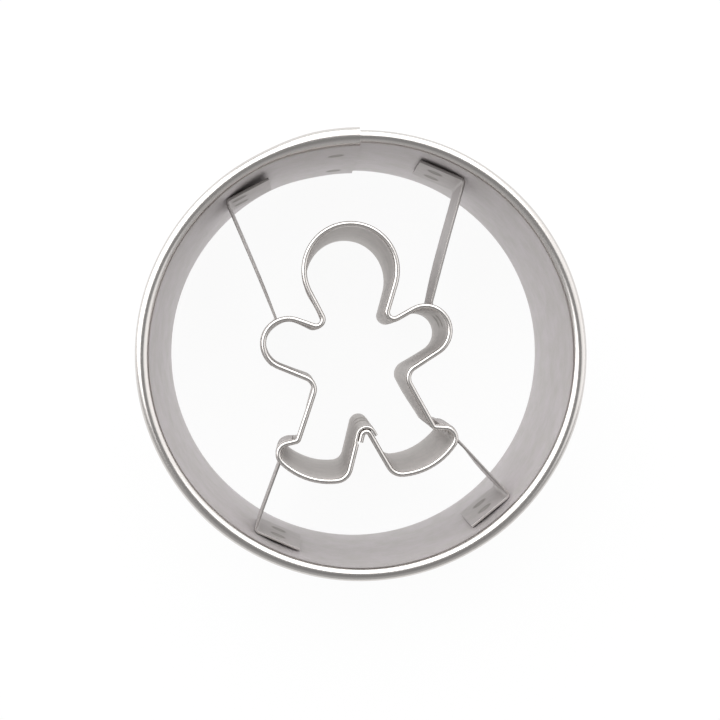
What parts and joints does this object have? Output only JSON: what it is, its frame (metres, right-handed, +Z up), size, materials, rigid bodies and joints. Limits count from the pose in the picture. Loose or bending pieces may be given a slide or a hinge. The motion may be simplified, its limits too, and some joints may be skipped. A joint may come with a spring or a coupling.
{
  "type": "cookie cutter",
  "caption": "Round Linzer cookie cutter: a ring with a rolled top edge holds a gingerbread-man band on bent struts, all thin spot-welded stainless steel strip.",
  "frame": {"origin": "middle of the ring on the cutting plane, where the sharp edge meets the dough", "axes": "+Z up from the cutting edge to the rolled edge, +Y towards the head end of the figure and the ring's seam, +X to the right seen from above"},
  "size_m": [0.0506, 0.051, 0.0204],
  "materials": {
    "rolled_steel": "satin stainless strip with a bright rolled edge",
    "strip_steel": "satin stainless strip",
    "weld_steel": "fused steel of a spot weld"
  },
  "bodies": {
    "root": {"outer_ring": "rolled_steel", "figure_band": "strip_steel", "strut_upper_left": "strip_steel", "strut_upper_right": "strip_steel", "strut_lower_left": "strip_steel", "strut_lower_right": "strip_steel", "weld_ring_seam_upper": "weld_steel", "weld_ring_seam_lower": "weld_steel", "weld_figure_seam_upper": "weld_steel", "weld_figure_seam_lower": "weld_steel", "weld_upper_left_ring_upper": "weld_steel", "weld_upper_left_ring_lower": "weld_steel", "weld_upper_left_figure_upper": "weld_steel", "weld_upper_left_figure_lower": "weld_steel", "weld_upper_right_ring_upper": "weld_steel", "weld_upper_right_ring_lower": "weld_steel", "weld_upper_right_figure_upper": "weld_steel", "weld_upper_right_figure_lower": "weld_steel", "weld_lower_left_ring_upper": "weld_steel", "weld_lower_left_ring_lower": "weld_steel", "weld_lower_left_figure_upper": "weld_steel", "weld_lower_left_figure_lower": "weld_steel", "weld_lower_right_ring_upper": "weld_steel", "weld_lower_right_ring_lower": "weld_steel", "weld_lower_right_figure_upper": "weld_steel", "weld_lower_right_figure_lower": "weld_steel"}
  },
  "joints": []
}
